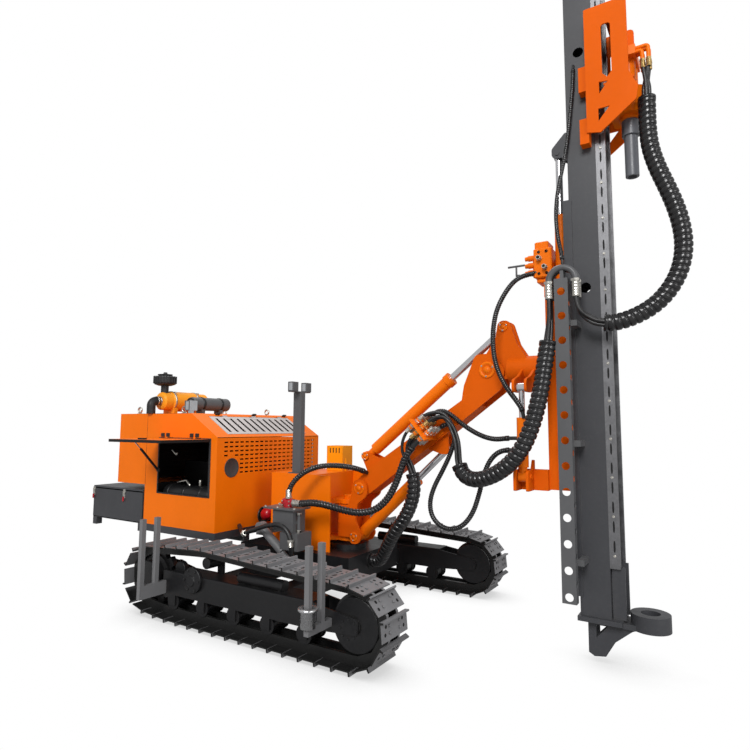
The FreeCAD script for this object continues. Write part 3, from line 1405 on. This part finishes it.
def carriage():
    half = S.carriage_half
    outline = [(2285, 3540), (2372, 3520), (2600, 3690, 20), (2614, 3780, 20), (2560, 3900, 60),
               (2560, S.carriage_high, 30), (2285, S.carriage_high, 10)]
    slot = [(2395, 3935), (2426, 3900), (2456, 3935), (2456, 4290, 20), (2395, 4290, 20)]
    cuts = [[(2372, 3880), (2372, 3795), (2430, 3870)], [(2362, 3690), (2362, 3600), (2436, 3690)]]
    sides = [plate(outline, 12, (0, y, 0), "side", windows=[slot] + cuts)
             for y in (-half + 12, half)]
    back = box((2464, -half + 11, 3870), 14, 2 * half - 22, S.carriage_high - 3870)
    floor = plate([(2400, -half + 11), (2590, -half + 11), (2590, half - 11), (2400, half - 11)],
                  16, (0, 0, 3852), "top")
    top = box((2400, -half + 11, S.carriage_high - 20), 78, 2 * half - 22, 20)
    shoes = []
    for y in (-half + 11, S.mast_width / 2 + SLIDE_FIT):
        for z in (3470, 3850):
            shoes.append(box((2236, y, z), 60, half - 11 - S.mast_width / 2 - SLIDE_FIT, 180))
    return fuse(sides[0], sides[1], back, floor, top, *shoes)


PORTS_Z = 3868.3 + 170.3
ELBOWS = ((2638, -122), (2676, -122), (2638, -78), (2676, -78))
ELBOW_RADIUS = 13


def port_elbow(x, y):
    """A steel elbow from the block's front face down to its hose."""
    z = PORTS_Z + (44 if x > 2650 else 20)
    turn = 20
    diagonal = turn * math.sqrt(0.5)
    path = Part.Wire([
        Part.LineSegment(Vector(2595, y, z), Vector(x - turn, y, z)).toShape(),
        Part.Arc(Vector(x - turn, y, z), Vector(x - turn + diagonal, y, z - turn + diagonal),
                 Vector(x, y, z - turn)).toShape(),
        Part.LineSegment(Vector(x, y, z - turn), Vector(x, y, ELBOW_END_Z)).toShape(),
    ])
    ring = Part.Wire(Part.Circle(Vector(2595, y, z), AXES["x"], ELBOW_RADIUS).toShape())
    return solid(path.makePipeShell([ring], True, False))


ELBOW_END_Z = 3990


def rotary_gearbox():
    body = plate([(2420, -110, 20), (2560, -110, 60), (2636, -50, 40), (2636, 50, 40),
                  (2560, 110, 60), (2420, 110, 20)], 186, (0, 0, 3665.7), "top")
    chuck_seat = bar((S.bore_x, 0, 3640), "z", 70, 26)
    motors = [bar((2545, y, 3868.3), "z", 44, 170) for y in (-56, 56)]
    block = box((2500, -150, PORTS_Z), 100, 250, 64)
    elbows = [port_elbow(x, y) for x, y in ELBOWS]
    return [fuse(body, chuck_seat)] + motors + [fuse(block, *elbows)]


node("carriage", carriage())
node("rotary_gearbox", *rotary_gearbox())


def spindle():
    low, high = S.spindle_low, S.spindle_high
    outline = [(0, S.spindle_bore), (0, S.spindle_radius, 3), (high - low, S.spindle_radius),
               (high - low, 56, 4), (3639.7 - low, 56), (3639.7 - low, 0), (70, 0),
               (70, S.spindle_bore)]
    return turned(outline, (S.bore_x, 0, low), "z")


node("spindle", spindle())


# Hoses: each lies along straight runs joined by arcs as large as the runs allow. A section ends
# in the middle of a run; the thick sections are spiral guards round several hoses.

GUARD = 48
BUNDLE = 31
PAIR = 33
JOINT_GAP = 0.3
WHOLE = 99


def fitting_run(y, rise, long):
    """A hose's end at a fitting of the boom's manifold, and the point straight out from it."""
    u, v = along(FOOT, HEAD)
    middle = Vector(FOOT[0], y, FOOT[1]) + u * (MANIFOLD_ALONG + MANIFOLD_THICK / 2) + v * rise
    reach = math.copysign(FITTING_LONG / 2 + JOINT_GAP, long)
    return [tuple(middle + u * reach), tuple(middle + u * (reach + long))]


FEED_ROUTE = [
    (2657, -100, 3989.7), (2657, -100, 3885), (2653, -100, 3770), (2652, -100, 3655),
    (2650, -100, 3520), (2658, -100, 3380), (2695, -100, 3230), (2745, -100, 3090),
    (2790, -100, 2950), (2820, -102, 2810), (2829, -108, 2670), (2805, -118, 2530),
    (2745, -138, 2405), (2660, -165, 2305), (2550, -200, 2235), (2430, -236, 2195),
    (2320, -262, 2205), (2240, -270, 2260), (2200, -270, 2325), (2200, -270, 2384.7),
]
MAST_ROUTE = [
    (2024, -270, 2384.7), (2024, -270, 2290), (2018, -280, 2180), (2004, -296, 2050),
    (1986, -318, 1920), (1972, -340, 1790), (1948, -362, 1660), (1914, -382, 1530),
    (1866, -392, 1410), (1790, -385, 1305), (1690, -360, 1225), (1575, -330, 1170),
    (1470, -300, 1150), (1385, -275, 1175), (1338, -260, 1255), (1330, -250, 1350),
    (1315, -240, 1440), (1260, -222, 1545), (1205, -206, 1600),
    *reversed(fitting_run(-200, -35, 80)),
]
BASE_ROUTE = [
    *fitting_run(-200, -35, -80),
    (879, -204, 1342), (885, -208, 1272), (925, -211, 1200), (950, -213, 1105),
    (945, -214, 1000), (905, -212, 890), (840, -206, 790), (760, -190, 700),
    (680, -148, 590), (606, -96, 492), (545, -65, 430), (475.3, -65, 430),
]
AIR_ROUTE = [
    *fitting_run(-262, -95, -80),
    (900, -268, 1290), (862, -273, 1190), (822, -280, 1080), (765, -295, 970),
    (680, -325, 885), (580, -372, 855), (490, -425, 865), (395, -478, 895),
    (300, -520, 920), (205, -536, 925), (115, -540, 908.6), (26.3, -540, 908.6),
]
LOOP_ROUTE = [
    *fitting_run(-140, -95, 70),
    (1225, -146, 1545), (1272, -160, 1488), (1268, -175, 1408), (1235, -190, 1305),
    (1180, -203, 1190), (1120, -215, 1080), (1088, -228, 970), (1105, -240, 870),
    (1175, -250, 800), (1275, -254, 778), (1370, -252, 820), (1440, -243, 915),
    (1478, -225, 1040), (1505, -212, 1165), (1550, -217, 1275), (1620, -235, 1345),
    (1698, -250, 1368), (1771.7, -250, 1368),
]
LEAN_ROUTE = [
    *fitting_run(-140, 25, 80),
    (1165, -145, 1650), (1245, -155, 1610), (1330, -170, 1545), (1425, -190, 1490),
    (1525, -212, 1450), (1618, -236, 1436), (1700, -250, 1448), (1771.7, -250, 1448),
]


def hose_runs(points):
    """Straight parts of a route's runs, and the arcs that join them."""
    corners = [Vector(*p) for p in points]
    starts, stops, arcs = [corners[0]], [], []
    tightest = math.inf
    for back, here, ahead in zip(corners, corners[1:], corners[2:]):
        before, after = (back - here).normalize(), (ahead - here).normalize()
        half = before.getAngle(after) / 2
        reach = 0.45 * min((back - here).Length, (ahead - here).Length)
        bend = reach * math.tan(half)
        middle = here + (before + after).normalize() * (bend / math.sin(half) - bend)
        arcs.append(Part.Arc(here + before * reach, middle, here + after * reach).toShape())
        stops.append(here + before * reach)
        starts.append(here + after * reach)
        tightest = min(tightest, bend)
    stops.append(corners[-1])
    return starts, stops, arcs, tightest


def hose(name, points, *sections):
    """Tubes along a route, one for each section: (radius, the run in whose middle it ends)."""
    starts, stops, arcs, tightest = hose_runs(points)
    last = len(starts) - 1
    tubes = []
    begin, run = starts[0], 0
    for radius, end_run in sections:
        edges = []
        end = stops[last] if end_run >= last else (starts[end_run] + stops[end_run]) * 0.5
        way = stops[run] - begin
        ring = Part.Wire(Part.Circle(begin, way, radius).toShape())
        at = begin
        for i in range(run, min(end_run, last)):
            edges += [Part.LineSegment(at, stops[i]).toShape(), arcs[i]]
            at = starts[i + 1]
        edges.append(Part.LineSegment(at, end).toShape())
        path = Part.Wire(edges)
        tube = path.makePipeShell([ring], True, False)
        whole = math.pi * radius ** 2 * path.Length
        if abs(tube.Volume - whole) > 0.01 * whole:
            raise RuntimeError(f"{name}: the tube's volume is not its section times its length")
        print(name, "length", round(path.Length), "radius", radius, "tightest bend", round(tightest))
        tubes.append(solid(tube))
        gap = (end - at).normalize() * JOINT_GAP
        begin, run = end + gap, end_run
    return tubes


node("feed_hoses", *hose("feed hoses", FEED_ROUTE, (BUNDLE, 2), (GUARD, 15), (PAIR, WHOLE)))
node("mast_hoses", *hose("mast hoses", MAST_ROUTE, (PAIR, 2), (GUARD, 13), (BUNDLE, WHOLE)))
node("base_hoses", *hose("base hoses", BASE_ROUTE, (BUNDLE, 4), (GUARD, WHOLE)),
     *hose("air hose", AIR_ROUTE, (20, WHOLE)))
node("lean_hoses", *hose("loop hose", LOOP_ROUTE, (13, WHOLE)),
     *hose("lean hose", LEAN_ROUTE, (13, WHOLE)))


def finish():
    doc.recompute()
    for obj in doc.Objects:
        if "Invalid" in obj.State or "Error" in obj.State:
            raise RuntimeError(f"{obj.Name} ({obj.Label}) failed: {obj.State}")
    os.makedirs("parts", exist_ok=True)
    for obj in nodes:
        shape = obj.Shape
        if shape.isNull() or not shape.isValid() or not shape.Solids:
            raise RuntimeError(f"{obj.Label} has no valid solid")
        shape.exportStep(f"parts/{obj.Label}.step")
        print(obj.Label, len(shape.Solids), round(shape.Volume / 1000))


finish()
